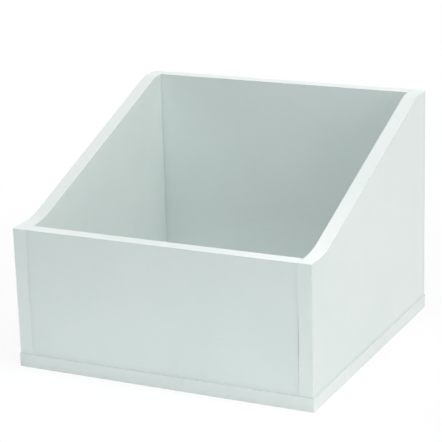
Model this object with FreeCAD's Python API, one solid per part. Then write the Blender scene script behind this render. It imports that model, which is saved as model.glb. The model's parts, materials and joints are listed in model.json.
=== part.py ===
"""Record storage box: an open box of white laminated board, low in front and high at the back.

The base lies under four walls and stands a little proud of them. The front and back boards
stand between the two sides. Cams in the front and back boards pull them against the sides,
dowels locate them, and screws from below hold the base. Every cut edge that shows is covered
by a glued edge band.

Millimetres. X runs across the front, Y from front to back, Z up. The origin is the middle of
the base's underside.
"""
import FreeCAD
import Part

import math
import os

V = FreeCAD.Vector
ALONG_X = V(1, 0, 0)
ALONG_Y = V(0, 1, 0)
ALONG_Z = V(0, 0, 1)

# Boards
base_width = 360.0
base_depth = 350.0
overall_height = 270.0
front_height = 163.0
board = 16.0
base_overhang = 1.0
joint_gap = 0.2

# Sweep of the sides' top edge: each flat is measured to the corner before it is rounded
low_flat = 37.0
high_flat = 29.0
hollow_radius = 100.0
crown_radius = 40.0

# Edge bands: the outer edges are rounded, but a little flat is always left
band = 1.0
band_round = 0.6
band_flat = 0.1

# Cam bolts: a ball head on a neck, a shaft in the board's end, and a thread in the side
head_radius = 3.3
head_reach = 1.4
head_clearance = 0.3
neck_radius = 2.0
neck_past_cam = 1.4
neck_taper = 1.0
shaft_clearance = 0.6
shaft_bore_clearance = 0.7
collar_clearance = 0.2
collar_length = 1.5
bolt_thread_radius = 2.9
bolt_thread_depth = 0.4
bolt_pitch = 2.0
bolt_skin = 5.0

# Cams: a cup that is off centre, so that turning it draws the bolt's head in
cam_setback = 24.0
cam_inset = 37.0
cam_turn = 180.0
cam_wall = 2.05
cam_lip = 0.6
cam_clearance = 0.08
cam_floor_gap = 0.3
cavity_play = 1.7
cavity_offset = 0.45
recess_length = 8.4
recess_width = 1.7
recess_depth = 2.6
pointer_length = 2.2
pointer_width = 1.0
pointer_depth = 0.5

# Dowels
dowel_diameter = 8.0
dowel_length = 30.0
dowel_chamfer = 1.0
dowel_clearance = 0.05
dowel_end_gap = 0.5
dowel_skin = 4.0
front_dowel_count = 1
back_dowel_count = 2

# Screws through the base, each with a dowel beside it
screw_inset = 70.0
dowel_spacing = 32.0
screw_head_radius = 5.0
screw_head_height = 3.4
screw_shank_radius = 3.5
screw_thread_radius = 3.2
screw_thread_depth = 0.7
screw_pitch = 3.0
screw_bite = 34.0
screw_sink = 0.3
screw_socket = 4.0
screw_socket_depth = 2.8
thread_crest = 0.3
thread_clearance = 0.08
thread_end_gap = 1.0

# Positions and sizes that follow from those above
side_outer = base_width / 2 - base_overhang
side_inner = side_outer - board
wall_front = base_overhang - base_depth / 2
wall_back = -wall_front
base_top = board
cross_end = side_inner - joint_gap
bolt_depth = board / 2
bolt_bite = board - bolt_skin
shaft_bore_radius = head_radius + shaft_bore_clearance
shaft_radius = shaft_bore_radius - shaft_clearance
collar_radius = shaft_bore_radius - collar_clearance
cavity_radius = head_radius + cavity_play
cam_radius = cavity_radius + cavity_offset + cam_wall
cam_height = bolt_depth + head_radius + head_clearance + cam_lip
pocket_radius = cam_radius + cam_clearance
neck_end = pocket_radius + neck_past_cam
dowel_radius = dowel_diameter / 2
dowel_bore_radius = dowel_radius + dowel_clearance
dowel_in_face = board - dowel_skin
dowel_in_edge = dowel_length - dowel_in_face

# Front and back boards: where the front face stands, the top, and the dowels at each end
CROSS_BOARDS = {
    "front": {"face": wall_front, "top": front_height, "dowels": front_dowel_count},
    "back": {"face": wall_back - board, "top": overall_height, "dowels": back_dowel_count},
}


def block(x0, x1, y0, y1, z0, z1):
    """Box between two corners."""
    return Part.makeBox(x1 - x0, y1 - y0, z1 - z0, V(x0, y0, z0))


def bore(start, direction, radius, depth):
    """Round cutting tool that enters a face at start, reaches depth below it and stands clear above."""
    return Part.makeCylinder(radius, depth + radius, start - direction * radius, direction)


def drilled(solid, tools):
    """Solid with every tool cut away."""
    return solid.cut(tools).Solids[0]


def turned(points):
    """Solid of revolution about Z from an outline of (radius, height) points."""
    corners = [V(radius, 0, height) for radius, height in points]
    outline = Part.makePolygon(corners + corners[:1])
    return Part.Face(outline).revolve(V(0, 0, 0), ALONG_Z, 360)


def softened(solid, chosen):
    """Solid with the chosen edges rounded as a trimmed edge band is."""
    edges = [edge for edge in solid.Edges if chosen(edge)]
    return solid.makeFillet(min(band_round, band - band_flat), edges).Solids[0]


def lies_at(edge, axis, value):
    """Whether both ends of an edge lie at one value of x, y or z."""
    return all(round(getattr(end.Point, axis) - value, 3) == 0 for end in edge.Vertexes)


def runs_along(edge, direction):
    """Whether a straight edge runs along a direction."""
    return round(abs(edge.tangentAt(edge.FirstParameter).dot(direction)), 3) == 1


def thread_outline(crest, depth, pitch, start, end):
    """Ridges of a screw thread from start to end, as (radius, height) points."""
    count = max(1, int((end - start) / pitch))
    step = (end - start) / count
    points = []
    for turn in range(count):
        foot = start + turn * step
        points.append((crest - depth, foot))
        points.append((crest, foot + (step - thread_crest) / 2))
        points.append((crest, foot + (step + thread_crest) / 2))
    points.append((crest - depth, end))
    return points


# Where the fixings are


def cam_levels(name):
    """Heights of the lower and upper cam of the front or back board."""
    return {"lower": base_top + cam_inset, "upper": CROSS_BOARDS[name]["top"] - cam_inset}


def cross_middle(name):
    """Y of the middle of the front or back board's thickness."""
    return CROSS_BOARDS[name]["face"] + board / 2


def dowel_levels(name):
    """Heights of the dowels at each end of a cross board, evenly set between its cams."""
    levels = cam_levels(name)
    count = CROSS_BOARDS[name]["dowels"]
    step = (levels["upper"] - levels["lower"]) / (count + 1)
    return [levels["lower"] + step * (place + 1) for place in range(count)]


def wall_runs():
    """Centre, direction and half length of the foot of each wall."""
    side_middle = side_inner + board / 2
    runs = {
        "left": (V(-side_middle, 0, base_top), ALONG_Y, wall_back),
        "right": (V(side_middle, 0, base_top), ALONG_Y, wall_back),
    }
    for name in CROSS_BOARDS:
        runs[name] = (V(0, cross_middle(name), base_top), ALONG_X, side_inner)
    return runs


def base_screw_points(wall):
    """Points on the base's top where screws enter a wall."""
    centre, direction, half = wall_runs()[wall]
    return [centre + direction * (end * (half - screw_inset)) for end in (-1, 1)]


def base_dowel_points(wall):
    """Points on the base's top where dowels enter a wall, inside the screws."""
    centre, direction, half = wall_runs()[wall]
    return [centre + direction * (end * (half - screw_inset - dowel_spacing)) for end in (-1, 1)]


def wall_foot_bores(wall):
    """Bores up into the foot of a wall for its screws and dowels."""
    tools = []
    screw_bore_radius = screw_thread_radius + thread_clearance
    for point in base_screw_points(wall):
        tools.append(bore(point, ALONG_Z, screw_bore_radius, screw_bite + thread_end_gap))
    for point in base_dowel_points(wall):
        tools.append(bore(point, ALONG_Z, dowel_bore_radius, dowel_in_edge + dowel_end_gap))
    return tools


# Base


def base_board():
    """Board under the walls, countersunk from below and bored from above."""
    half_width = base_width / 2 - band
    half_depth = base_depth / 2 - band
    core = block(-half_width, half_width, -half_depth, half_depth, 0, board)
    head_bore = screw_head_radius + thread_clearance
    shank_bore = screw_shank_radius + thread_clearance
    tools = []
    for wall in wall_runs():
        for point in base_screw_points(wall):
            foot = V(point.x, point.y, 0)
            tools.append(bore(foot, ALONG_Z, shank_bore, 2 * board))
            seat = turned([
                (0, -screw_head_height),
                (head_bore, -screw_head_height),
                (head_bore, screw_sink),
                (shank_bore, screw_sink + screw_head_height),
                (0, screw_sink + screw_head_height),
            ])
            tools.append(seat.translated(foot))
        for point in base_dowel_points(wall):
            tools.append(bore(point, -ALONG_Z, dowel_bore_radius, dowel_in_face + dowel_end_gap))
    return drilled(core, tools)


def base_cross_band(end):
    """Band along the front (-1) or back (1) of the base, over its whole width."""
    outer = end * base_depth / 2
    inner = outer - end * band
    strip = block(-base_width / 2, base_width / 2, min(outer, inner), max(outer, inner), 0, board)
    return softened(strip, lambda edge: lies_at(edge, "y", outer))


def base_side_band(end):
    """Band along the left (-1) or right (1) of the base, between the other two."""
    outer = end * base_width / 2
    inner = outer - end * band
    reach = base_depth / 2 - band
    strip = block(min(outer, inner), max(outer, inner), -reach, reach, 0, board)
    return softened(strip, lambda edge: lies_at(edge, "x", outer) and runs_along(edge, ALONG_Y))


# Sides


def sweep_edges(inset, end_inset):
    """Top outline of a side from front to back, lowered by inset and shortened by end_inset."""
    rise = overall_height - front_height
    run = (wall_back - high_flat) - (wall_front + low_flat)
    climb = math.atan2(rise, run)
    hollow_y = wall_front + low_flat - hollow_radius * math.tan(climb / 2)
    hollow_z = front_height + hollow_radius
    crown_y = wall_back - high_flat + crown_radius * math.tan(climb / 2)
    crown_z = overall_height - crown_radius

    def hollow(angle):
        reach = hollow_radius + inset
        return V(0, hollow_y + reach * math.sin(angle), hollow_z - reach * math.cos(angle))

    def crown(angle):
        reach = crown_radius - inset
        return V(0, crown_y - reach * math.sin(angle), crown_z + reach * math.cos(angle))

    low_end = V(0, wall_front + end_inset, front_height - inset)
    high_end = V(0, wall_back - end_inset, overall_height - inset)
    return [
        Part.makeLine(low_end, hollow(0)),
        Part.Arc(hollow(0), hollow(climb / 2), hollow(climb)).toShape(),
        Part.makeLine(hollow(climb), crown(climb)),
        Part.Arc(crown(climb), crown(climb / 2), crown(0)).toShape(),
        Part.makeLine(crown(0), high_end),
    ]


def side_left_face(end):
    """X of the left-hand face of the left (-1) or right (1) side."""
    return side_inner if end > 0 else -side_outer


def side_board(end):
    """Side without its bands, bored in the inner face and in the foot."""
    top = sweep_edges(band, band)
    low_end = top[0].valueAt(top[0].FirstParameter)
    high_end = top[-1].valueAt(top[-1].LastParameter)
    low_foot = V(0, low_end.y, base_top)
    high_foot = V(0, high_end.y, base_top)
    outline = Part.Wire(top + [
        Part.makeLine(high_end, high_foot),
        Part.makeLine(high_foot, low_foot),
        Part.makeLine(low_foot, low_end),
    ])
    core = Part.Face(outline).extrude(ALONG_X * board).translated(V(side_left_face(end), 0, 0))
    outward = ALONG_X * end
    tools = wall_foot_bores("right" if end > 0 else "left")
    for name in CROSS_BOARDS:
        for level in cam_levels(name).values():
            start = V(end * side_inner, cross_middle(name), level)
            thread_bore = bolt_thread_radius + thread_clearance
            tools.append(bore(start, outward, thread_bore, bolt_bite + thread_end_gap))
        for level in dowel_levels(name):
            start = V(end * side_inner, cross_middle(name), level)
            tools.append(bore(start, outward, dowel_bore_radius, dowel_in_face + dowel_end_gap))
    return drilled(core, tools)


def side_top_band(end):
    """One strip bent along the swept top, over the ends of the front and back bands."""
    outer = sweep_edges(0, 0)
    inner = sweep_edges(band, 0)
    outline = Part.Wire(
        outer
        + [Part.makeLine(outer[-1].Vertexes[-1].Point, inner[-1].Vertexes[-1].Point)]
        + inner[::-1]
        + [Part.makeLine(inner[0].Vertexes[0].Point, outer[0].Vertexes[0].Point)]
    )
    strip = Part.Face(outline).extrude(ALONG_X * board)
    path = Part.Wire(outer)

    def on_top(edge):
        middle = edge.valueAt((edge.FirstParameter + edge.LastParameter) / 2)
        beside = Part.Vertex(V(0, middle.y, middle.z))
        return round(path.distToShape(beside)[0], 3) == 0

    return softened(strip, on_top).translated(V(side_left_face(end), 0, 0))


def side_upright_band(end, outer, top):
    """Band up the front or back edge of a side, from the base to the top band."""
    inner = outer - math.copysign(band, outer)
    left = side_left_face(end)
    strip = block(left, left + board, min(outer, inner), max(outer, inner), base_top, top - band)
    return softened(strip, lambda edge: lies_at(edge, "y", outer) and runs_along(edge, ALONG_Z))


# Front and back boards


def cross_board(name):
    """Front or back board without its band, with cam pockets in its rear face."""
    face = CROSS_BOARDS[name]["face"]
    top = CROSS_BOARDS[name]["top"]
    core = block(-cross_end, cross_end, face, face + board, base_top, top - band)
    tools = wall_foot_bores(name)
    pocket_depth = cam_height + cam_floor_gap
    for end in (-1, 1):
        inward = ALONG_X * -end
        for level in cam_levels(name):
            tools.append(bore(cam_point(name, end, level), -ALONG_Y, pocket_radius, pocket_depth))
        for level in cam_levels(name).values():
            mouth = V(end * cross_end, cross_middle(name), level)
            tools.append(bore(mouth, inward, shaft_bore_radius, cam_setback))
        for level in dowel_levels(name):
            mouth = V(end * cross_end, cross_middle(name), level)
            tools.append(bore(mouth, inward, dowel_bore_radius, dowel_in_edge - joint_gap + dowel_end_gap))
    return drilled(core, tools)


def cross_band(name):
    """Band along the top of the front or back board."""
    face = CROSS_BOARDS[name]["face"]
    top = CROSS_BOARDS[name]["top"]
    strip = block(-cross_end, cross_end, face, face + board, top - band, top)
    return softened(strip, lambda edge: lies_at(edge, "z", top) and runs_along(edge, ALONG_X))


# Cams and their bolts


def cam_point(name, end, level):
    """Middle of a cam's face, flush with the rear of the front or back board."""
    rear = CROSS_BOARDS[name]["face"] + board
    return V(end * (cross_end - cam_setback), rear, cam_levels(name)[level])


def cam_places():
    """Name, board, end and level of each cam."""
    places = []
    for name in CROSS_BOARDS:
        for side, end in (("left", -1), ("right", 1)):
            for level in cam_levels(name):
                places.append((f"cam_{name}_{side}_{level}", name, end, level))
    return places


def slot_spare():
    """Angle by which the neck's slot runs on past the locked place.

    It clears the neck and also the head, which swells into the slot where the circle of the
    head with its clearance crosses the circle of the cavity.
    """
    neck_angle = math.asin((neck_radius + head_clearance) / (cavity_radius - cavity_offset))
    apart = head_reach + cavity_offset
    swell = head_radius + head_clearance
    if apart + swell <= cavity_radius:
        return math.degrees(neck_angle)
    crossing = math.acos((apart**2 + cavity_radius**2 - swell**2) / (2 * apart * cavity_radius))
    along = cavity_radius * math.cos(crossing) - cavity_offset
    head_angle = math.atan2(cavity_radius * math.sin(crossing), along)
    return math.degrees(max(neck_angle, head_angle))


def cam_slot():
    """Slot for the neck, round the wall from the locked place to the head's way in."""
    half = neck_radius + head_clearance
    outline = Part.makePolygon([
        V(cavity_offset, 0, -half),
        V(2 * cam_radius, 0, -half),
        V(2 * cam_radius, 0, half),
        V(cavity_offset, 0, half),
        V(cavity_offset, 0, -half),
    ])
    slot = Part.Face(outline).revolve(V(0, 0, 0), ALONG_Z, cam_turn + slot_spare())
    slot.rotate(V(0, 0, 0), ALONG_Z, -cam_turn)
    return slot.translated(V(0, 0, -bolt_depth))


def cam_way_in():
    """Way in for the bolt's head at the far end of the turn, open below."""
    half = head_radius + head_clearance
    way = Part.makeCylinder(half, 2 * cam_radius, V(0, 0, -bolt_depth), ALONG_X)
    below = block(0, 2 * cam_radius, -half, half, -2 * cam_height, -bolt_depth)
    opening = way.fuse(below)
    opening.rotate(V(0, 0, 0), ALONG_Z, -cam_turn)
    return opening


def cam():
    """Cam standing on Z with its face at the origin, locked on a bolt that comes in along X."""
    body = Part.makeCylinder(cam_radius, cam_height, V(0, 0, -cam_height))
    ceiling = head_radius + head_clearance - bolt_depth
    cavity_foot = V(-cavity_offset, 0, -2 * cam_height)
    cavity = Part.makeCylinder(cavity_radius, ceiling + 2 * cam_height, cavity_foot)
    half_long = recess_length / 2
    half_wide = recess_width / 2
    cross = block(-half_long, half_long, -half_wide, half_wide, -recess_depth, recess_depth)
    cross = cross.fuse(block(-half_wide, half_wide, -half_long, half_long, -recess_depth, recess_depth))
    pointer_start = cam_radius - pointer_length
    half_pointer = pointer_width / 2
    pointer = block(pointer_start, 2 * cam_radius, -half_pointer, half_pointer, -pointer_depth, pointer_depth)
    pointer.rotate(V(0, 0, 0), ALONG_Z, -cam_turn)
    return drilled(body, [cavity, cam_slot(), cam_way_in(), cross, pointer])


def placed_cam(name, end, level):
    """Cam in its pocket, facing the rear, with its locked place towards the side."""
    to_rear = FreeCAD.Rotation(ALONG_X, -90)
    to_side = FreeCAD.Rotation(ALONG_Y, 0 if end > 0 else 180)
    seated = cam()
    seated.Placement = FreeCAD.Placement(cam_point(name, end, level), to_side * to_rear)
    return seated


def cam_bolt():
    """Bolt along Z from the cam's axis at the origin, through the board's end, into the side."""
    face = cam_setback + joint_gap
    head = Part.makeSphere(head_radius, V(0, 0, head_reach))
    neck = [(0, head_reach), (neck_radius, head_reach), (neck_radius, neck_end - neck_taper)]
    shaft = [(shaft_radius, neck_end), (shaft_radius, face - collar_length)]
    collar = [(collar_radius, face - collar_length), (collar_radius, face)]
    thread = thread_outline(bolt_thread_radius, bolt_thread_depth, bolt_pitch, face, face + bolt_bite)
    stem = turned(neck + shaft + collar + thread + [(0, face + bolt_bite)])
    return head.fuse(stem).removeSplitter().Solids[0]


def placed_bolt(name, end, level):
    """Cam bolt in its place, pointing into the side."""
    seated = cam_bolt()
    start = cam_point(name, end, level) - ALONG_Y * bolt_depth
    seated.Placement = FreeCAD.Placement(start, FreeCAD.Rotation(ALONG_Z, ALONG_X * end))
    return seated


# Dowels and screws


def dowel():
    """Wooden dowel on Z from the origin up, with chamfered ends."""
    return turned([
        (0, 0),
        (dowel_radius - dowel_chamfer, 0),
        (dowel_radius, dowel_chamfer),
        (dowel_radius, dowel_length - dowel_chamfer),
        (dowel_radius - dowel_chamfer, dowel_length),
        (0, dowel_length),
    ])


def wall_dowels():
    """Dowels between the sides and the ends of the front and back boards."""
    pegs = []
    for name in CROSS_BOARDS:
        for end in (-1, 1):
            for level in dowel_levels(name):
                peg = dowel()
                start = V(end * (side_inner + dowel_in_face), cross_middle(name), level)
                peg.Placement = FreeCAD.Placement(start, FreeCAD.Rotation(ALONG_Z, ALONG_X * -end))
                pegs.append(peg)
    return Part.makeCompound(pegs)


def base_dowels():
    """Dowels that stand in the base and locate the four walls."""
    pegs = []
    for wall in wall_runs():
        for point in base_dowel_points(wall):
            pegs.append(dowel().translated(point - ALONG_Z * dowel_in_face))
    return Part.makeCompound(pegs)


def base_screw():
    """Countersunk screw with a hexagon socket, on Z with its head's face at the origin."""
    shank_end = base_top - screw_sink
    tip = shank_end + screw_bite
    head = [(0, 0), (screw_head_radius, 0), (screw_shank_radius, screw_head_height)]
    shank = [(screw_shank_radius, shank_end)]
    thread = thread_outline(
        screw_thread_radius, screw_thread_depth, screw_pitch, shank_end, tip - screw_pitch
    )
    body = turned(head + shank + thread + [(0, tip)])
    corner = screw_socket / math.sqrt(3)
    corners = []
    for place in range(7):
        angle = math.radians(60 * place)
        corners.append(V(corner * math.cos(angle), corner * math.sin(angle), -screw_socket_depth))
    socket = Part.Face(Part.makePolygon(corners)).extrude(ALONG_Z * (2 * screw_socket_depth))
    return drilled(body, [socket])


def base_screws():
    """Screws through the base into the four walls, heads just below its underside."""
    screws = []
    for wall in wall_runs():
        for point in base_screw_points(wall):
            screws.append(base_screw().translated(V(point.x, point.y, screw_sink)))
    return Part.makeCompound(screws)


# Every piece under its own name

pieces = {
    "base_board": base_board(),
    "base_band_front": base_cross_band(-1),
    "base_band_back": base_cross_band(1),
    "base_band_left": base_side_band(-1),
    "base_band_right": base_side_band(1),
}
for side, end in (("left", -1), ("right", 1)):
    pieces[f"{side}_side_board"] = side_board(end)
    pieces[f"{side}_band_top"] = side_top_band(end)
    pieces[f"{side}_band_front"] = side_upright_band(end, wall_front, front_height)
    pieces[f"{side}_band_back"] = side_upright_band(end, wall_back, overall_height)
for name in CROSS_BOARDS:
    pieces[f"{name}_board"] = cross_board(name)
    pieces[f"{name}_band_top"] = cross_band(name)
for node, name, end, level in cam_places():
    pieces[node] = placed_cam(name, end, level)
pieces["cam_bolts"] = Part.makeCompound([placed_bolt(*place[1:]) for place in cam_places()])
pieces["wall_dowels"] = wall_dowels()
pieces["base_dowels"] = base_dowels()
pieces["base_screws"] = base_screws()

os.makedirs("parts", exist_ok=True)
for node, shape in pieces.items():
    shape.exportStep(f"parts/{node}.step")
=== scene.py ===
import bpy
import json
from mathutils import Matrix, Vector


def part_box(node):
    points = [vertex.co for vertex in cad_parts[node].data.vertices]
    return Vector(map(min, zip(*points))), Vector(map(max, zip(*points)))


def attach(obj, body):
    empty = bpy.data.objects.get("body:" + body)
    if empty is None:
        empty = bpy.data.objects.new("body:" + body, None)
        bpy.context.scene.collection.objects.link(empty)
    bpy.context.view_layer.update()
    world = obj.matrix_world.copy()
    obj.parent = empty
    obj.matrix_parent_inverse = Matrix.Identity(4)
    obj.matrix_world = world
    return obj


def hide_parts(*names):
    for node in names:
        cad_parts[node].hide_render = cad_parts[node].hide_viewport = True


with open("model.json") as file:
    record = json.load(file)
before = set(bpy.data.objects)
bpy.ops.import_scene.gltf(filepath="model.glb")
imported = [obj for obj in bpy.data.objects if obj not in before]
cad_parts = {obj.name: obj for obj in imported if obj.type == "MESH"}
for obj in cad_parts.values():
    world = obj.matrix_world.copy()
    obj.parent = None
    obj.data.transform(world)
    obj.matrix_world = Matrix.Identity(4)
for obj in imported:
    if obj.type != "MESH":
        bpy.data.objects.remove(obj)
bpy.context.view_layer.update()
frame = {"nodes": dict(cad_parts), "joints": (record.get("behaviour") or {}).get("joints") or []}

import json
import math

import bpy
import numpy as np
from mathutils import Matrix, Vector

# Base board: one panel of 16 mm chipboard, faced on both sides with white melamine paper.
# It is sawn from a pressed sheet, drilled from below for its screws, and carries all four walls.

MELAMINE_WHITE = (0.795, 0.850, 0.838, 1.0)
MELAMINE_SHADE = (0.758, 0.822, 0.812, 1.0)
RUBBED_GREY = (0.60, 0.64, 0.63, 1.0)
# Joint dust and painted shade: a grey laid within a few millimetres of each joint and of the tape's seam at
# the base's top.
DUST_AND_SHADE_GREY = (0.40, 0.44, 0.44, 1.0)
CHIP_DARK = (0.30, 0.18, 0.085, 1.0)
CHIP_LIGHT = (0.60, 0.43, 0.25, 1.0)
FIBRE_PALE = (0.70, 0.55, 0.36, 1.0)
PAPER = 0.0004
PAPER_EDGE = 0.00008
WAX_REACH = 0.0022
WAX_FADE = 0.012
NOT_WAXED = 9.0
FACE_FADE = 0.001
# How far the joint dust and painted shade reaches from a joint.
DUST_AND_SHADE_REACH = 0.007
NICK_DEPTH = 0.0011
NICK_EDGE = 0.00012
PRESS_DEPTH = 0.00010
BASE_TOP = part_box("base_board")[1].z
HALF_BOARD = BASE_TOP / 2
BAY_HALF_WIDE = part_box("right_side_board")[0].x
BAY_HALF_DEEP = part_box("back_board")[0].y


def add_node(tree, kind, inputs=None, **settings):
    """One shader node: its options are set, then each input takes a value or another node's output."""
    made = tree.nodes.new(kind)
    for key, value in settings.items():
        setattr(made, key, value)
    for key, value in (inputs or {}).items():
        if isinstance(value, bpy.types.NodeSocket):
            tree.links.new(value, made.inputs[key])
        else:
            made.inputs[key].default_value = value
    return made


def calc(tree, operation, first, second=0.0):
    """Two values joined by one Math operation."""
    return add_node(tree, "ShaderNodeMath", {0: first, 1: second}, operation=operation).outputs[0]


def plus(tree, first, second):
    """The sum of two values."""
    return calc(tree, "ADD", first, second)


def minus(tree, first, second):
    """The first value less the second."""
    return calc(tree, "SUBTRACT", first, second)


def times(tree, first, second):
    """The product of two values."""
    return calc(tree, "MULTIPLY", first, second)


def fade(tree, value, start, end, low=0.0, high=1.0):
    """A smooth step: low up to start, high from end on, and an S-curve between them."""
    levels = {"Value": value, "From Min": start, "From Max": end, "To Min": low, "To Max": high}
    return add_node(tree, "ShaderNodeMapRange", levels, interpolation_type="SMOOTHSTEP").outputs[0]


def between(tree, share, under, over):
    """Two values mixed: under where the share is 0, over where it is 1."""
    return add_node(tree, "ShaderNodeMix", {0: share, 2: under, 3: over}).outputs[0]


def blend(tree, share, under, over):
    """Two colours mixed: under where the share is 0, over where it is 1."""
    return add_node(tree, "ShaderNodeMix", {0: share, 6: under, 7: over}, data_type="RGBA").outputs[2]


def cloud(tree, place, scale, detail=2.0, roughness=0.5):
    """Cloudy noise with a given count of lumps per metre, 0.5 on average."""
    levels = {"Vector": place, "Scale": scale, "Detail": detail, "Roughness": roughness}
    return add_node(tree, "ShaderNodeTexNoise", levels).outputs[0]


def drawn_out(tree, place, counts):
    """The place multiplied by a count per axis, for patterns that run one way."""
    return add_node(tree, "ShaderNodeMapping", {"Vector": place, "Scale": counts}).outputs[0]


def split(tree, place):
    """The X, Y and Z of a place."""
    return add_node(tree, "ShaderNodeSeparateXYZ", {0: place}).outputs


def start_group(name, takes, gives):
    """An empty node group with its named inputs and outputs, and the sockets inside it."""
    group = bpy.data.node_groups.new(name, "ShaderNodeTree")
    for label, kind in takes.items():
        group.interface.new_socket(label, in_out="INPUT", socket_type="NodeSocket" + kind)
    for label, kind in gives.items():
        group.interface.new_socket(label, in_out="OUTPUT", socket_type="NodeSocket" + kind)
    inside = group.nodes.new("NodeGroupInput").outputs
    outside = group.nodes.new("NodeGroupOutput").inputs
    return group, inside, outside


def use_group(tree, group, **inputs):
    """The outputs of a node group placed in a material, with its inputs set by name."""
    return add_node(tree, "ShaderNodeGroup", inputs, node_tree=group).outputs


def start_material(name):
    """An empty material with its Principled shader, its node tree and the texture coordinates."""
    material = bpy.data.materials.new(name)
    material.use_nodes = True
    tree = material.node_tree
    tree.nodes.clear()
    shader = tree.nodes.new("ShaderNodeBsdfPrincipled")
    ending = tree.nodes.new("ShaderNodeOutputMaterial")
    tree.links.new(shader.outputs[0], ending.inputs["Surface"])
    return material, tree, shader, tree.nodes.new("ShaderNodeTexCoord").outputs


def bumped(tree, shader, height, depth):
    """Turns a height into the shader's normal, with one unit of height standing depth metres high."""
    bump = add_node(tree, "ShaderNodeBump", {"Height": height, "Distance": depth, "Strength": 1.0})
    tree.links.new(bump.outputs[0], shader.inputs["Normal"])


def pressed_face_group():
    """The pearl of the press plate, 0.7 mm pits on 2 mm cells, over chips that show through as slow waves.
    Relief = 1.2 pits + 0.9 cells + 3 waves. Tint is a wide cloud with a few fine specks. Gloss is a cloud
    of 30 mm lumps."""
    group, inside, outside = start_group(
        "pressed_face", {"Place": "Vector"}, {"Relief": "Float", "Tint": "Float", "Gloss": "Float"})
    place = inside["Place"]
    pits = cloud(group, place, 1400.0, 2.0, 0.6)
    cell_levels = {"Vector": place, "Scale": 520.0}
    cells = add_node(group, "ShaderNodeTexVoronoi", cell_levels, feature="SMOOTH_F1").outputs[0]
    waves = cloud(group, place, 62.0, 2.5, 0.55)
    fine = plus(group, times(group, pits, 1.2), times(group, cells, 0.9))
    group.links.new(plus(group, fine, times(group, waves, 3.0)), outside["Relief"])
    wide = fade(group, cloud(group, place, 8.0, 4.0, 0.6), 0.32, 0.70)
    specks = fade(group, cloud(group, place, 520.0, 1.0, 0.4), 0.70, 0.78)
    group.links.new(calc(group, "MAXIMUM", times(group, wide, 0.7), specks), outside["Tint"])
    group.links.new(cloud(group, place, 34.0, 5.0, 0.65), outside["Gloss"])
    return group


def chip_core_group():
    """The sawn core: 2 mm chips, each with its own brown, over fibres a quarter of a millimetre fine."""
    group, inside, outside = start_group(
        "chip_core", {"Place": "Vector"}, {"Color": "Color", "Relief": "Float"})
    chips = add_node(group, "ShaderNodeTexVoronoi", {"Vector": inside["Place"], "Scale": 480.0})
    fibre = cloud(group, inside["Place"], 3800.0, 3.0, 0.6)
    chosen = add_node(group, "ShaderNodeSeparateColor", {0: chips.outputs["Color"]}).outputs[0]
    brown = blend(group, chosen, CHIP_DARK, CHIP_LIGHT)
    group.links.new(blend(group, fade(group, fibre, 0.45, 0.75), brown, FIBRE_PALE), outside["Color"])
    group.links.new(plus(group, chips.outputs["Distance"], fibre), outside["Relief"])
    return group


def handling_group():
    """Handling marks: fine rubs in two directions, where a wide cloud allows them, and soft smudges."""
    group, inside, outside = start_group(
        "handling", {"Place": "Vector"}, {"Rubs": "Float", "Smudge": "Float"})
    place = inside["Place"]
    level = cloud(group, drawn_out(group, place, (34.0, 34.0, 1500.0)), 1.0, 2.0, 0.4)
    upright = cloud(group, drawn_out(group, place, (1300.0, 1300.0, 26.0)), 1.0, 2.0, 0.4)
    lines = calc(group, "MAXIMUM", fade(group, level, 0.66, 0.72), fade(group, upright, 0.69, 0.75))
    where = fade(group, cloud(group, place, 11.0, 3.0, 0.6), 0.50, 0.68)
    group.links.new(times(group, lines, where), outside["Rubs"])
    group.links.new(fade(group, cloud(group, place, 19.0, 5.0, 0.62), 0.50, 0.74), outside["Smudge"])
    return group


def joint_line_group():
    """Joint dust with painted shade, and nicks, at a joint. The dust and painted shade is full at the joint
    and gone at the reach, squared so that it hugs the line, and broken by noise. Nicks are bites in the
    edge, deepest where a fine and a wide noise both rise."""
    group, inside, outside = start_group(
        "joint_line", {"Place": "Vector", "Distance": "Float", "Reach": "Float"},
        {"Dust_and_shade": "Float", "Nicks": "Float"})
    place, distance = inside["Place"], inside["Distance"]
    # Painted shade with dust: full at the joint, falling off squared to nothing at the reach.
    near = minus(group, 1.0, calc(group, "DIVIDE", distance, inside["Reach"]))
    near = calc(group, "POWER", calc(group, "MAXIMUM", near, 0.0), 2.0)
    broken = fade(group, cloud(group, place, 95.0, 4.0, 0.65), 0.25, 0.70, 0.35, 1.0)
    group.links.new(times(group, near, broken), outside["Dust_and_shade"])
    tooth = fade(group, cloud(group, place, 950.0, 3.0, 0.6), 0.50, 0.80)
    bunch = fade(group, cloud(group, place, 26.0, 3.0, 0.6), 0.50, 0.66)
    bite = times(group, times(group, tooth, bunch), NICK_DEPTH)
    group.links.new(fade(group, minus(group, bite, distance), 0.0, NICK_EDGE), outside["Nicks"])
    return group


pressed_face = pressed_face_group()
chip_core = chip_core_group()
handling = handling_group()
joint_line = joint_line_group()


def middle(node, axis):
    """The middle of a node along one axis."""
    low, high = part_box(node)
    place = "XYZ".index(axis)
    return (low[place] + high[place]) / 2


def both_ways(axis, plane, side):
    """Two joint planes, equally far from the middle of the box."""
    return [(axis, -plane, side), (axis, plane, side)]


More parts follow.
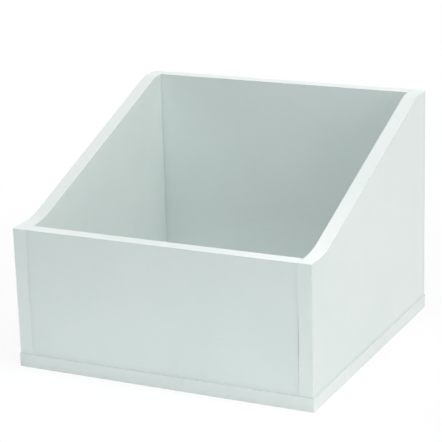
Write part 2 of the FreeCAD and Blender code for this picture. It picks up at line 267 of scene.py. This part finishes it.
def faced_board(node, through, joints, waxed_from=NOT_WAXED):
    """Melamine-faced chipboard for a board whose thickness runs along the through axis. Paper lies close to
    the two faces and chips lie between, and white wax fills the outer part of the sawn ends from a given
    height up. Joint dust with painted shade, and nicks, show at the joints, which are planes, each an axis,
    a place and the face that it shows on (-1, 1, or 0 for both)."""
    material, tree, shader, place = start_material("faced_" + node.removesuffix("_board"))
    place = place["Object"]
    axes = split(tree, place)
    offset = minus(tree, axes[through], middle(node, through))
    depth = calc(tree, "ABSOLUTE", offset)
    white_depth = fade(tree, axes["Z"], waxed_from - WAX_FADE, waxed_from + WAX_FADE, PAPER, WAX_REACH)
    paper = fade(tree, plus(tree, depth, white_depth), HALF_BOARD, HALF_BOARD + PAPER_EDGE)
    nearest = 1.0
    for axis, plane, side in joints:
        away = calc(tree, "ABSOLUTE", minus(tree, axes[axis], plane))
        if side:
            away = plus(tree, away, fade(tree, offset, -FACE_FADE * side, FACE_FADE * side, 1.0, 0.0))
        nearest = calc(tree, "MINIMUM", away, nearest)
    face = use_group(tree, pressed_face, Place=place)
    core = use_group(tree, chip_core, Place=place)
    marks = use_group(tree, handling, Place=place)
    line = use_group(tree, joint_line, Place=place, Distance=nearest, Reach=DUST_AND_SHADE_REACH)
    white = blend(tree, face["Tint"], MELAMINE_WHITE, MELAMINE_SHADE)
    white = blend(tree, times(tree, marks["Rubs"], 0.35), white, RUBBED_GREY)
    # Joint dust and painted shade: the grey laid close to each joint and into the inside corners.
    white = blend(tree, times(tree, line["Dust_and_shade"], 0.14), white, DUST_AND_SHADE_GREY)
    papered = times(tree, paper, minus(tree, 1.0, line["Nicks"]))
    tree.links.new(blend(tree, papered, core["Color"], white), shader.inputs["Base Color"])
    satin = plus(tree, 0.26, times(tree, face["Gloss"], 0.12))
    satin = plus(tree, satin, times(tree, marks["Smudge"], 0.10))
    satin = plus(tree, satin, times(tree, marks["Rubs"], 0.18))
    tree.links.new(between(tree, papered, 0.88, satin), shader.inputs["Roughness"])
    relief = between(tree, papered, times(tree, core["Relief"], 2.0), face["Relief"])
    bumped(tree, shader, relief, PRESS_DEPTH)
    return material


def finish_node(node, material):
    """Gives a carried-over node its finish, through its material slots."""
    for slot in frame["nodes"][node].material_slots:
        slot.material = material


base_joints = both_ways("X", BAY_HALF_WIDE, 1) + both_ways("Y", BAY_HALF_DEEP, 1)
finish_node("base_board", faced_board("base_board", "Z", base_joints))

# Base edge bands: four strips of white plastic tape, a millimetre thick, glued round the sawn edges.
# The front and back strips run the full width over the ends of the two side strips, trimmed and eased.

BAND_WHITE = (0.815, 0.862, 0.852, 1.0)
BAND_STREAK = (0.793, 0.846, 0.837, 1.0)
BAND_WORN = (0.66, 0.70, 0.69, 1.0)
GLUE_GREY = (0.36, 0.34, 0.30, 1.0)
BAND_THICK = 0.001
BAND_ROUND = 0.0006
BAND_HALF_WIDE = HALF_BOARD
GLUE_NICK = 0.00007
FLAT_END = BAND_HALF_WIDE - BAND_ROUND
ROUND_END = FLAT_END + BAND_ROUND * math.pi / 2
WEAR_START = FLAT_END - 0.00015
WEAR_FULL = FLAT_END + 0.00025
WEAR_LESS = ROUND_END - 0.00004
WEAR_END = ROUND_END + 0.00026
GLUE_START = ROUND_END + 0.00024
GLUE_FULL = ROUND_END + 0.00034
SEAM_REACH = 0.0012
TAPE_DEPTH = 0.000025
SHARP_TURN = math.radians(32.0)
RUN_SHARES = np.linspace(0.02, 0.98, 25)
QUARTER = np.linspace(0.0, math.pi / 2, 7)
EASE = BAND_ROUND * (1.0 - np.sin(QUARTER))
EASE_RIM = np.cos(QUARTER)


def band_section():
    """The strip's section, (across, out): up one side from a tiny nick at the glue line, over a quarter
    circle, across the flat, over the other quarter circle and down, with a point just inside each end of
    the flat."""
    across = FLAT_END + BAND_ROUND * np.cos(QUARTER)
    out = BAND_THICK - BAND_ROUND + BAND_ROUND * np.sin(QUARTER)
    flat_point = FLAT_END - BAND_ROUND * 0.1
    across = np.r_[BAND_HALF_WIDE - GLUE_NICK, BAND_HALF_WIDE, across, flat_point]
    out = np.r_[0.0, GLUE_NICK, out, BAND_THICK]
    return np.stack([np.r_[-across, across[::-1]], np.r_[out, out[::-1]]], axis=1)


def straight_run(node, outward, eased=False, short=0.0):
    """Stations along the middle of a straight node's inner face, with the outward direction and rim of
    each. The first end may be cut short. Eased ends have stations bunched on a quarter circle, where the
    rim, the circle's cosine, draws the section in."""
    low, high = [np.array(corner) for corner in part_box(node)]
    outward = np.array(outward, dtype=float)
    longest = np.argmax(high - low)
    start = (low + high - outward * BAND_THICK) / 2
    start[longest] = low[longest] + short
    length = high[longest] - start[longest]
    bunch, end_rim = (EASE, EASE_RIM) if eased else (np.zeros(1), np.ones(1))
    along = np.r_[bunch[::-1], RUN_SHARES * length, length - bunch]
    rim = np.r_[end_rim[::-1], np.ones(len(RUN_SHARES)), end_rim]
    stations = start + along[:, None] * np.eye(3)[longest]
    return stations, np.broadcast_to(outward, stations.shape), rim


def closed_tube(name, points):
    """A closed mesh from rings of points: quads join ring to ring, and a flat face closes each end."""
    number = np.arange(points[..., 0].size).reshape(points.shape[:2])
    turned = np.roll(number, -1, axis=1)
    quads = np.stack([number[:-1], turned[:-1], turned[1:], number[1:]], axis=-1).reshape(-1, 4)
    faces = quads.tolist() + [number[0, ::-1].tolist(), number[-1].tolist()]
    mesh = bpy.data.meshes.new(name)
    mesh.from_pydata(points.reshape(-1, 3).tolist(), [], faces)
    return mesh


def carried_strip(name, stations, outward, rim):
    """A band: its section carried along the stations. Each point is station + across * (way x outward)
    + out * outward. The part of the section inside the rounded rim stays as it is, and the rest is scaled
    by that station's rim. Its map gives metres along the strip and metres round the section from the
    middle."""
    section = band_section()
    core_across = np.clip(section[:, 0], -FLAT_END, FLAT_END)
    core_out = np.minimum(section[:, 1], BAND_THICK - BAND_ROUND)
    across = core_across + (section[:, 0] - core_across) * rim[:, None]
    out = core_out + (section[:, 1] - core_out) * rim[:, None]
    way = np.gradient(stations, axis=0)
    way = way / np.linalg.norm(way, axis=1, keepdims=True)
    sideways = np.cross(way, outward)
    points = stations[:, None] + across[:, :, None] * sideways[:, None] + out[:, :, None] * outward[:, None]
    mesh = closed_tube(name, points)
    along = np.r_[0.0, np.cumsum(np.linalg.norm(np.diff(stations, axis=0), axis=1))]
    round_it = np.r_[0.0, np.cumsum(np.linalg.norm(np.diff(section, axis=0), axis=1))]
    round_it = round_it - round_it[-1] / 2
    chart = np.stack(np.meshgrid(along, round_it, indexing="ij"), axis=-1).reshape(-1, 2)
    corner = np.zeros(len(mesh.loops), dtype=np.int32)
    mesh.loops.foreach_get("vertex_index", corner)
    mesh.uv_layers.new(name="strip").data.foreach_set("uv", chart[corner].astype(np.float32).ravel())
    mesh.shade_smooth()
    mesh.set_sharp_from_angle(angle=SHARP_TURN)
    return bpy.data.objects.new(name, mesh)


def band_tape_material():
    """Extruded tape: streaks along the strip, the scraper's faint steps across it, worn rounded edges, dust
    with a painted shade line along the seam at the base's top, and a dark hairline of glue. Wear and glue
    are placed by the distance round the section from its middle."""
    material, tree, shader, place = start_material("band_tape")
    chart, place = place["UV"], place["Object"]
    off = calc(tree, "ABSOLUTE", split(tree, chart)["Y"])
    streak = cloud(tree, drawn_out(tree, chart, (9.0, 1900.0, 1.0)), 1.0, 3.0, 0.55)
    chatter = cloud(tree, drawn_out(tree, chart, (420.0, 30.0, 1.0)), 1.0, 2.0, 0.5)
    onset = fade(tree, off, WEAR_START, WEAR_FULL)
    ending = fade(tree, off, WEAR_LESS, WEAR_END, 1.0, 0.0)
    patchy = fade(tree, cloud(tree, place, 130.0, 5.0, 0.7), 0.50, 0.72)
    worn = times(tree, times(tree, onset, ending), patchy)
    glue = fade(tree, off, GLUE_START, GLUE_FULL)
    marks = use_group(tree, handling, Place=place)
    # Dust and a painted shade line along the seam where the tape meets the base's top.
    seam = calc(tree, "ABSOLUTE", minus(tree, split(tree, place)["Z"], BASE_TOP))
    dust_and_shade = use_group(tree, joint_line, Place=place, Distance=seam, Reach=SEAM_REACH)["Dust_and_shade"]
    white = blend(tree, fade(tree, streak, 0.40, 0.72), BAND_WHITE, BAND_STREAK)
    white = blend(tree, times(tree, worn, 0.45), white, BAND_WORN)
    white = blend(tree, times(tree, marks["Rubs"], 0.30), white, RUBBED_GREY)
    white = blend(tree, times(tree, dust_and_shade, 0.35), white, DUST_AND_SHADE_GREY)
    tree.links.new(blend(tree, times(tree, glue, 0.75), white, GLUE_GREY), shader.inputs["Base Color"])
    satin = plus(tree, 0.27, times(tree, streak, 0.10))
    satin = minus(tree, satin, times(tree, worn, 0.10))
    satin = plus(tree, satin, times(tree, marks["Smudge"], 0.12))
    tree.links.new(satin, shader.inputs["Roughness"])
    lift = plus(tree, times(tree, streak, 0.3), times(tree, chatter, 0.5))
    bumped(tree, shader, minus(tree, lift, times(tree, worn, 0.8)), TAPE_DEPTH)
    return material


band_tape = band_tape_material()


def fix_band(node, run):
    """Makes a band along its run, in its node's place, with the tape's finish, riding on the box."""
    band = carried_strip(node + "_tape", *run)
    bpy.context.scene.collection.objects.link(band)
    band.data.materials.append(band_tape)
    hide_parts(node)
    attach(band, "box")


fix_band("base_band_front", straight_run("base_band_front", (0, -1, 0), eased=True))
fix_band("base_band_back", straight_run("base_band_back", (0, 1, 0), eased=True))
fix_band("base_band_left", straight_run("base_band_left", (-1, 0, 0)))
fix_band("base_band_right", straight_run("base_band_right", (1, 0, 0)))

# Side boards: two panels of the same faced chipboard, standing on the base.
# Their top edges are cut on a sweep, low at the front and high at the back, to one template.

HANDS = {"left": -1, "right": 1}
side_half_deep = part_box("right_side_board")[1].y
for hand, out in HANDS.items():
    side_joints = [("Z", BASE_TOP, 0)] + both_ways("Y", side_half_deep, out)
    side_joints += both_ways("Y", BAY_HALF_DEEP, -out)
    finish_node(hand + "_side_board", faced_board(hand + "_side_board", "X", side_joints))

# Side edge bands: tape bent round the whole swept top of each side, over two upright strips.
# The long strip is warmed to take the hollow and the crown, then trimmed flush at both faces.
# The right front strip was cut a hair short, so a dark line of core shows at its foot.

LOW_FLAT = 0.037
HIGH_FLAT = 0.029
HOLLOW = 0.100
CROWN = 0.040
FLAT_GAP = 0.002
HOLLOW_STATIONS = 40
CROWN_STATIONS = 28
SLOPE_SHARES = np.linspace(0.02, 0.98, 20)
SHORT_CUT = {"left": 0.0, "right": 0.0003}


def swept_run(node):
    """Stations along the glue line of a swept top edge, with the outward direction and rim of each. The
    line is level, turns up on an arc about a centre above it, climbs straight, turns back on an arc about a
    centre below it, and ends level. At a turn of t the outward direction is (-sin t, cos t) in Y and Z."""
    low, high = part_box(node)
    low_knee = (low.y + LOW_FLAT, low.z + BAND_THICK)
    high_knee = (high.y - HIGH_FLAT, high.z)
    climb = math.atan2(high_knee[1] - low_knee[1], high_knee[0] - low_knee[0])
    low_centre = np.array([low_knee[0] - HOLLOW * math.tan(climb / 2), low_knee[1] + HOLLOW])
    high_centre = np.array([high_knee[0] + CROWN * math.tan(climb / 2), high_knee[1] - CROWN])
    front = np.r_[low.y + EASE[::-1], low.y + FLAT_GAP, low_centre[0] - FLAT_GAP]
    back = np.r_[high_centre[0] + FLAT_GAP, high.y - FLAT_GAP, high.y - EASE]
    up = np.linspace(0.0, climb, HOLLOW_STATIONS)
    down = np.linspace(climb, 0.0, CROWN_STATIONS)
    hollow = low_centre + (HOLLOW + BAND_THICK) * np.stack([np.sin(up), -np.cos(up)], axis=1)
    crown = high_centre + (CROWN - BAND_THICK) * np.stack([-np.sin(down), np.cos(down)], axis=1)
    slope = hollow[-1] + SLOPE_SHARES[:, None] * (crown[0] - hollow[-1])
    low_level = np.stack([front, np.full(len(front), low_knee[1] - BAND_THICK)], axis=1)
    high_level = np.stack([back, np.full(len(back), high_knee[1] - BAND_THICK)], axis=1)
    line = np.concatenate([low_level, hollow, slope, crown, high_level])
    turn = np.r_[np.zeros(len(front)), up, np.full(len(slope), climb), down, np.zeros(len(back))]
    rim = np.r_[EASE_RIM[::-1], np.ones(len(line) - 2 * len(EASE_RIM)), EASE_RIM]
    stations = np.stack([np.full(len(line), middle(node, "X")), line[:, 0], line[:, 1]], axis=1)
    outward = np.stack([np.zeros(len(line)), -np.sin(turn), np.cos(turn)], axis=1)
    return stations, outward, rim


for hand, short in SHORT_CUT.items():
    fix_band(hand + "_band_top", swept_run(hand + "_band_top"))
    fix_band(hand + "_band_front", straight_run(hand + "_band_front", (0, -1, 0), short=short))
    fix_band(hand + "_band_back", straight_run(hand + "_band_back", (0, 1, 0)))

# Front and back boards: faced chipboard set between the sides, flush with their edges.
# Each is drilled in its ends for dowels and bolts, and from one face for the cams that lock them.

WAXED_FROM = {"front": 0.095, "back": 0.150}
cross_half_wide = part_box("front_board")[1].x
cross_joints = [("Z", BASE_TOP, 0)] + both_ways("X", cross_half_wide, 0)
for wall, height in WAXED_FROM.items():
    finish_node(wall + "_board", faced_board(wall + "_board", "Y", cross_joints, height))

# Front and back edge bands: one straight strip of tape along the top edge of each cross board.
# They butt against the inner faces of the sides.

for wall in WAXED_FROM:
    fix_band(wall + "_band_top", straight_run(wall + "_band_top", (0, 0, 1)))

# Joint wax: a thread of white filler wax, pressed into the hairline between each side and cross board.
# It is wiped off a little below the faces, and has shrunk in deeper at one place low in each joint.

WAX_WHITE = (0.80, 0.85, 0.84, 1.0)
WAX_DULL = (0.70, 0.75, 0.74, 1.0)
WALLS = {"front": -1, "back": 1}
THREAD_BED = 0.002
THREAD_SUNK = {"left": 0.0003, "right": 0.00012}
THREAD_SHRINK = {"left": 0.0003, "right": 0.00095}
SHRINK_LEVEL = 0.078
SHRINK_SPREAD = 0.027
LEAST_STEP = 0.0001
THREAD_STATIONS = 60
CURVE_SHARES = np.linspace(0.0, 1.0, 5)
RIPPLE_DEPTH = 0.00003
wall_half_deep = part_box("back_board")[1].y


def wax_thread(name, out, rear, top, sunk, shrink):
    """A thread of wax, its section carried up the joint from the base. Its face lies sunk below the wall's
    face, and deeper by shrink * exp(-((level - SHRINK_LEVEL) / SHRINK_SPREAD) squared). From there it
    follows the quarter circle of the side's band to its foot, then the side and the board's end to its
    bed. A thread on the other hand or wall is mirrored, with its rings turned round."""
    level = np.linspace(BASE_TOP, top, THREAD_STATIONS)[:, None]
    face = sunk + shrink * np.exp(-(((level - SHRINK_LEVEL) / SHRINK_SPREAD) ** 2))
    foot = np.maximum(BAND_ROUND, face + LEAST_STEP)
    curve_depth = face + (foot - face) * CURVE_SHARES
    rise = np.maximum(BAND_ROUND - curve_depth, 0.0)
    curve_place = BAY_HALF_WIDE + BAND_ROUND - np.sqrt(BAND_ROUND**2 - rise**2)
    board_end = np.full_like(level, cross_half_wide)
    side_face = np.full_like(level, BAY_HALF_WIDE)
    bed = np.full_like(level, THREAD_BED)
    across = np.hstack([board_end, curve_place, side_face, board_end])
    depth = np.hstack([face, curve_depth, bed, bed])
    height = np.broadcast_to(level, depth.shape)
    points = np.stack([out * across, rear * (wall_half_deep - depth), height], axis=-1)
    if out == rear:
        points = points[:, ::-1]
    return bpy.data.objects.new(name, closed_tube(name, points))


def joint_wax_material():
    """Soft white wax: cloudy, duller where dust has stuck, with the faint ripples of the thumb."""
    material, tree, shader, place = start_material("joint_wax")
    place = place["Object"]
    dull = fade(tree, cloud(tree, place, 120.0, 4.0, 0.6), 0.45, 0.75)
    ripple = cloud(tree, drawn_out(tree, place, (900.0, 900.0, 260.0)), 1.0, 2.0, 0.5)
    tree.links.new(blend(tree, dull, WAX_WHITE, WAX_DULL), shader.inputs["Base Color"])
    tree.links.new(plus(tree, 0.38, times(tree, dull, 0.2)), shader.inputs["Roughness"])
    bumped(tree, shader, ripple, RIPPLE_DEPTH)
    return material


joint_wax = joint_wax_material()
for hand, out in HANDS.items():
    for wall, rear in WALLS.items():
        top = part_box(wall + "_board")[1].z
        thread = wax_thread(f"{wall}_{hand}_wax", out, rear, top, THREAD_SUNK[hand], THREAD_SHRINK[hand])
        bpy.context.scene.collection.objects.link(thread)
        thread.data.materials.append(joint_wax)
        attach(thread, "box")

# Dowels: turned beech pins, glued half into each of two boards to line them up.
# Those in the walls lie across the box and those in the base stand upright.

BEECH_DARK = (0.62, 0.41, 0.24, 1.0)
BEECH_LIGHT = (0.76, 0.57, 0.38, 1.0)
BEECH_FLECK = (0.36, 0.20, 0.10, 1.0)
GRAIN_ALONG = 60.0
GRAIN_ACROSS = 1500.0
FLECK_FINER = 2.6
GRAIN_DEPTH = 0.00005


def beech_material(name, counts):
    """Straight beech: pores and rays drawn out along the pin, by counts per metre on each axis."""
    material, tree, shader, place = start_material(name)
    grain = cloud(tree, drawn_out(tree, place["Object"], counts), 1.0, 4.0, 0.6)
    finer = [count * FLECK_FINER for count in counts]
    flecks = fade(tree, cloud(tree, drawn_out(tree, place["Object"], finer), 1.0, 2.0), 0.58, 0.70)
    wood = blend(tree, fade(tree, grain, 0.30, 0.70), BEECH_DARK, BEECH_LIGHT)
    wood = blend(tree, times(tree, flecks, 0.6), wood, BEECH_FLECK)
    tree.links.new(wood, shader.inputs["Base Color"])
    tree.links.new(plus(tree, 0.52, times(tree, grain, 0.25)), shader.inputs["Roughness"])
    bumped(tree, shader, minus(tree, grain, flecks), GRAIN_DEPTH)
    return material


finish_node("wall_dowels", beech_material("beech_level", (GRAIN_ALONG, GRAIN_ACROSS, GRAIN_ACROSS)))
finish_node("base_dowels", beech_material("beech_upright", (GRAIN_ACROSS, GRAIN_ACROSS, GRAIN_ALONG)))

# Cam bolts: zinc-plated steel pins, screwed into the sides, with a ball head that the cam draws in.
# They are turned from bar, so fine rings run round them.

STEEL_BRIGHT = (0.66, 0.67, 0.68, 1.0)
STEEL_DULL = (0.44, 0.45, 0.47, 1.0)
STEEL_SCRATCH = (0.80, 0.80, 0.80, 1.0)
RING_DEPTH = 0.00003
CROSS_MIDDLE = middle("back_board", "Y")
cam_axes = {joint["child"]: joint["pos_m"] for joint in frame["joints"]}
cam_levels = sorted({level for across, deep, level in cam_axes.values()})


def turned_metal_group():
    """A plated turning: rings by the distance from its axis and along it, a blotchy plate and fine
    scratches."""
    group, inside, outside = start_group(
        "turned_metal", {"Place": "Vector", "Radius": "Float", "Along": "Float"},
        {"Plate": "Float", "Relief": "Float", "Scratch": "Float"})
    both = add_node(group, "ShaderNodeCombineXYZ", {0: inside["Radius"], 1: inside["Along"]}).outputs[0]
    rings = cloud(group, drawn_out(group, both, (5200.0, 5200.0, 1.0)), 1.0, 2.0, 0.5)
    plate = cloud(group, inside["Place"], 420.0, 4.0, 0.6)
    scratch = cloud(group, drawn_out(group, inside["Place"], (400.0, 7000.0, 400.0)), 1.0, 1.0, 0.4)
    group.links.new(plate, outside["Plate"])
    group.links.new(plus(group, rings, times(group, plate, 0.5)), outside["Relief"])
    group.links.new(fade(group, scratch, 0.64, 0.72), outside["Scratch"])
    return group


turned_metal = turned_metal_group()


def from_centres(tree, first, second, centres):
    """The distance from the nearest of several centres, each given on the two axes."""
    nearest = 1.0
    for first_place, second_place in centres:
        aside = minus(tree, first, first_place)
        above = minus(tree, second, second_place)
        square = plus(tree, times(tree, aside, aside), times(tree, above, above))
        nearest = calc(tree, "MINIMUM", calc(tree, "SQRT", square), nearest)
    return nearest


def plated_steel(name, lies_along, centres):
    """Plated steel, turned about axes through the centres and along the axis named. The centres are given
    on the other two axes, and X and Y are folded about the middle of the box."""
    material, tree, shader, place = start_material(name)
    axes = split(tree, place["Object"])
    folded = {axis: calc(tree, "ABSOLUTE", axes[axis]) for axis in "XY"}
    folded["Z"] = axes["Z"]
    first, second = [folded[axis] for axis in "XYZ" if axis != lies_along]
    radius = from_centres(tree, first, second, centres)
    metal = use_group(tree, turned_metal, Place=place["Object"], Radius=radius, Along=folded[lies_along])
    tone = blend(tree, fade(tree, metal["Plate"], 0.35, 0.70), STEEL_BRIGHT, STEEL_DULL)
    tone = blend(tree, times(tree, metal["Scratch"], 0.5), tone, STEEL_SCRATCH)
    tree.links.new(tone, shader.inputs["Base Color"])
    tree.links.new(plus(tree, 0.24, times(tree, metal["Plate"], 0.22)), shader.inputs["Roughness"])
    shader.inputs["Metallic"].default_value = 1.0
    bumped(tree, shader, metal["Relief"], RING_DEPTH)
    return material


bolt_centres = [(CROSS_MIDDLE, level) for level in cam_levels]
finish_node("cam_bolts", plated_steel("steel_bolts", "X", bolt_centres))

# Cams: die-cast zinc drums set flush in the cross boards, four to each.
# A driver in the cross recess turns one half round, and its eccentric slot pulls the bolt's head in.

ZINC_LIGHT = (0.55, 0.56, 0.57, 1.0)
ZINC_GREY = (0.46, 0.47, 0.49, 1.0)
ZINC_DARK = (0.34, 0.35, 0.37, 1.0)
ZINC_RUBBED = (0.70, 0.70, 0.70, 1.0)
RUB_FULL = 0.0020
RUB_END = 0.0046
RIM_START = 0.0062
RIM_FULL = 0.0075
CAST_DEPTH = 0.00004


def cast_zinc_material(centres):
    """Die-cast zinc: a mottled skin with shallow pits, brighter where the driver has rubbed it near the
    middle, and darker at the rim. The centres are the cams' axes on X, folded about the middle of the box,
    and Z."""
    material, tree, shader, place = start_material("cast_zinc")
    axes = split(tree, place["Object"])
    radius = from_centres(tree, calc(tree, "ABSOLUTE", axes["X"]), axes["Z"], centres)
    mottle = cloud(tree, place["Object"], 1300.0, 4.0, 0.62)
    pits = fade(tree, cloud(tree, place["Object"], 3200.0, 2.0, 0.5), 0.64, 0.80)
    rim = fade(tree, radius, RIM_START, RIM_FULL)
    rubbed = times(tree, fade(tree, radius, RUB_FULL, RUB_END, 1.0, 0.0), fade(tree, mottle, 0.30, 0.62))
    tone = blend(tree, fade(tree, mottle, 0.35, 0.68), ZINC_LIGHT, ZINC_GREY)
    tone = blend(tree, times(tree, rim, 0.60), tone, ZINC_DARK)
    tone = blend(tree, times(tree, rubbed, 0.7), tone, ZINC_RUBBED)
    tree.links.new(tone, shader.inputs["Base Color"])
    rough = plus(tree, 0.34, times(tree, mottle, 0.25))
    tree.links.new(minus(tree, rough, times(tree, rubbed, 0.14)), shader.inputs["Roughness"])
    shader.inputs["Metallic"].default_value = 1.0
    bumped(tree, shader, minus(tree, mottle, pits), CAST_DEPTH)
    return material


cam_across = max(across for across, deep, level in cam_axes.values())
cast_zinc = cast_zinc_material([(cam_across, level) for level in cam_levels])
for cam in cam_axes:
    finish_node(cam, cast_zinc)

# Base screws: plated countersunk screws with a hexagon socket, driven up through the base.
# Their heads lie just under the face of the board, so the box stands flat.

SCREW_INSET = 0.070
side_screws = (middle("right_side_board", "X"), wall_half_deep - SCREW_INSET)
cross_screws = (BAY_HALF_WIDE - SCREW_INSET, CROSS_MIDDLE)
finish_node("base_screws", plated_steel("steel_screws", "Z", [side_screws, cross_screws]))

# Floor: a sheet of matt white card, wide enough to fill the view.
# It shows as white to the camera and in reflections, and keeps a share of the box's soft shadow.

FLOOR_WHITE = (0.90, 0.90, 0.90, 1.0)
PURE_WHITE = (1.0, 1.0, 1.0, 1.0)
FLOOR_HALF = 6.0
FLOOR_LINES = 25
SHADOW_SHARE = 0.16
SHADOW_START = 0.30
SHADOW_END = 0.75


def seen_direct(tree):
    """One where a ray comes from the camera, a reflection or glass, and nought for light that spreads."""
    path = tree.nodes.new("ShaderNodeLightPath").outputs
    seen = calc(tree, "MAXIMUM", path["Is Camera Ray"], path["Is Glossy Ray"])
    return calc(tree, "MAXIMUM", seen, path["Is Transmission Ray"])


def floor_card():
    """A level square grid at the foot of the box."""
    lines = np.linspace(-FLOOR_HALF, FLOOR_HALF, FLOOR_LINES)
    points = np.stack(np.meshgrid(lines, lines, [0.0], indexing="ij"), axis=-1).reshape(-1, 3)
    number = np.arange(FLOOR_LINES**2).reshape(FLOOR_LINES, FLOOR_LINES)
    tiles = np.stack([number[:-1, :-1], number[1:, :-1], number[1:, 1:], number[:-1, 1:]], axis=-1)
    mesh = bpy.data.meshes.new("floor_card")
    mesh.from_pydata(points.tolist(), [], tiles.reshape(-1, 4).tolist())
    return bpy.data.objects.new("floor_card", mesh)


def floor_material():
    """Matt card for spreading light, and white where it is seen, apart from a share of the shadow near the
    box."""
    material = bpy.data.materials.new("floor_card")
    material.use_nodes = True
    tree = material.node_tree
    tree.nodes.clear()
    place = tree.nodes.new("ShaderNodeTexCoord").outputs["Object"]
    away = add_node(tree, "ShaderNodeVectorMath", {0: place}, operation="LENGTH").outputs["Value"]
    clear = fade(tree, away, SHADOW_START, SHADOW_END, 1.0 - SHADOW_SHARE, 1.0)
    share = times(tree, seen_direct(tree), clear)
    matt = add_node(tree, "ShaderNodeBsdfDiffuse", {"Color": FLOOR_WHITE}).outputs[0]
    glow = add_node(tree, "ShaderNodeEmission", {"Color": PURE_WHITE, "Strength": 1.0}).outputs[0]
    mixed = add_node(tree, "ShaderNodeMixShader", {0: share, 1: matt, 2: glow}).outputs[0]
    add_node(tree, "ShaderNodeOutputMaterial", {"Surface": mixed})
    return material


floor = floor_card()
floor.data.materials.append(floor_material())
bpy.context.scene.collection.objects.link(floor)

# Studio light: wide soft boxes overhead, right, left and behind, a weak one in front, and a white room.
# A narrow strip over the foot of the front lights the floor there, and a small lamp high over the front
# right corner lights the edges there.

PLAIN_LIGHT = (1.0, 1.0, 1.0)
WARM_LIGHT = (1.0, 1.0, 0.955)
COOL_LIGHT = (0.84, 1.0, 0.98)
ROSE_LIGHT = (1.0, 0.85, 0.82)
ROOM_TINT = (0.97, 1.0, 0.995, 1.0)
ROOM_LIGHT = 0.15


def soft_box(name, place, aim, size, watts, colour, spread=180.0, mirrored=True):
    """An oblong area lamp, its width and height given, turned to face its aim, with its spread in degrees.
    A lamp that isn't mirrored lights the box but leaves no hot spot on its glossy edges."""
    lamp = bpy.data.lights.new(name, "AREA")
    lamp.shape = "RECTANGLE"
    lamp.size, lamp.size_y = size
    lamp.energy = watts
    lamp.color = colour
    lamp.spread = math.radians(spread)
    holder = bpy.data.objects.new(name, lamp)
    holder.location = place
    holder.rotation_euler = (Vector(aim) - Vector(place)).to_track_quat("-Z", "Y").to_euler()
    holder.visible_glossy = mirrored
    bpy.context.scene.collection.objects.link(holder)


def white_room():
    """A world that gives a little even light, and is white to the camera and in reflections."""
    room = bpy.data.worlds.new("white_room")
    room.use_nodes = True
    tree = room.node_tree
    tree.nodes.clear()
    even = add_node(tree, "ShaderNodeBackground", {"Color": ROOM_TINT, "Strength": ROOM_LIGHT}).outputs[0]
    wall = add_node(tree, "ShaderNodeBackground", {"Color": PURE_WHITE, "Strength": 1.0}).outputs[0]
    mixed = add_node(tree, "ShaderNodeMixShader", {0: seen_direct(tree), 1: even, 2: wall}).outputs[0]
    add_node(tree, "ShaderNodeOutputWorld", {"Surface": mixed})
    return room


soft_box("lamp_over", (0.35, -0.25, 2.2), (0.0, 0.0, 0.1), (1.6, 1.6), 31.5, PLAIN_LIGHT)
soft_box("lamp_right", (2.1, -0.45, 0.95), (0.1, 0.0, 0.12), (1.4, 1.4), 13.8, WARM_LIGHT, mirrored=False)
soft_box("lamp_front", (0.22, -1.45, 0.24), (0.05, 0.0, 0.02), (1.3, 0.36), 2.8, COOL_LIGHT)
soft_box("lamp_foot", (0.08, -0.29, 1.0), (0.08, -0.28, 0.0), (0.7, 0.1), 0.125, COOL_LIGHT, spread=14.0)
soft_box("lamp_corner", (0.18, -0.15, 1.3), (0.165, -0.15, 0.16), (0.1, 0.08), 0.0105, ROSE_LIGHT,
         spread=12.0, mirrored=False)
soft_box("lamp_left", (-2.2, 0.35, 0.75), (0.0, 0.0, 0.12), (1.4, 1.4), 18.0, PLAIN_LIGHT, mirrored=False)
soft_box("lamp_behind", (1.0, 2.2, 1.1), (0.0, 0.0, 0.12), (1.2, 1.2), 14.0, PLAIN_LIGHT, mirrored=False)
bpy.context.scene.world = white_room()
bpy.context.scene.view_settings.view_transform = "Standard"

# Camera: a long lens a little above the box and off to its right, fitted to the box's corners.
# It is turned by yaw, pitch and a slight roll, and its focal length is 1724 pixels of a 442 pixel frame.

CAMERA_PLACE = (0.832, -1.708, 0.719)
YAW, PITCH, ROLL = math.radians(26.18), math.radians(16.93), math.radians(1.71)
FOCAL, FRAME_SIDE = 1724.0, 442.0
forward = Vector((-math.sin(YAW) * math.cos(PITCH), math.cos(YAW) * math.cos(PITCH), -math.sin(PITCH)))
level_right = Vector((math.cos(YAW), math.sin(YAW), 0.0))
level_down = forward.cross(level_right)
right = math.cos(ROLL) * level_right + math.sin(ROLL) * level_down
down = math.cos(ROLL) * level_down - math.sin(ROLL) * level_right
lens = bpy.data.cameras.new("camera")
lens.sensor_width = 36.0
lens.lens = FOCAL / FRAME_SIDE * lens.sensor_width
lens.clip_start = 0.05
lens.clip_end = 60.0
camera = bpy.data.objects.new("camera", lens)
turned = Matrix((right, -down, -forward)).transposed().to_4x4()
camera.matrix_world = Matrix.Translation(CAMERA_PLACE) @ turned
bpy.context.scene.collection.objects.link(camera)
bpy.context.scene.camera = camera
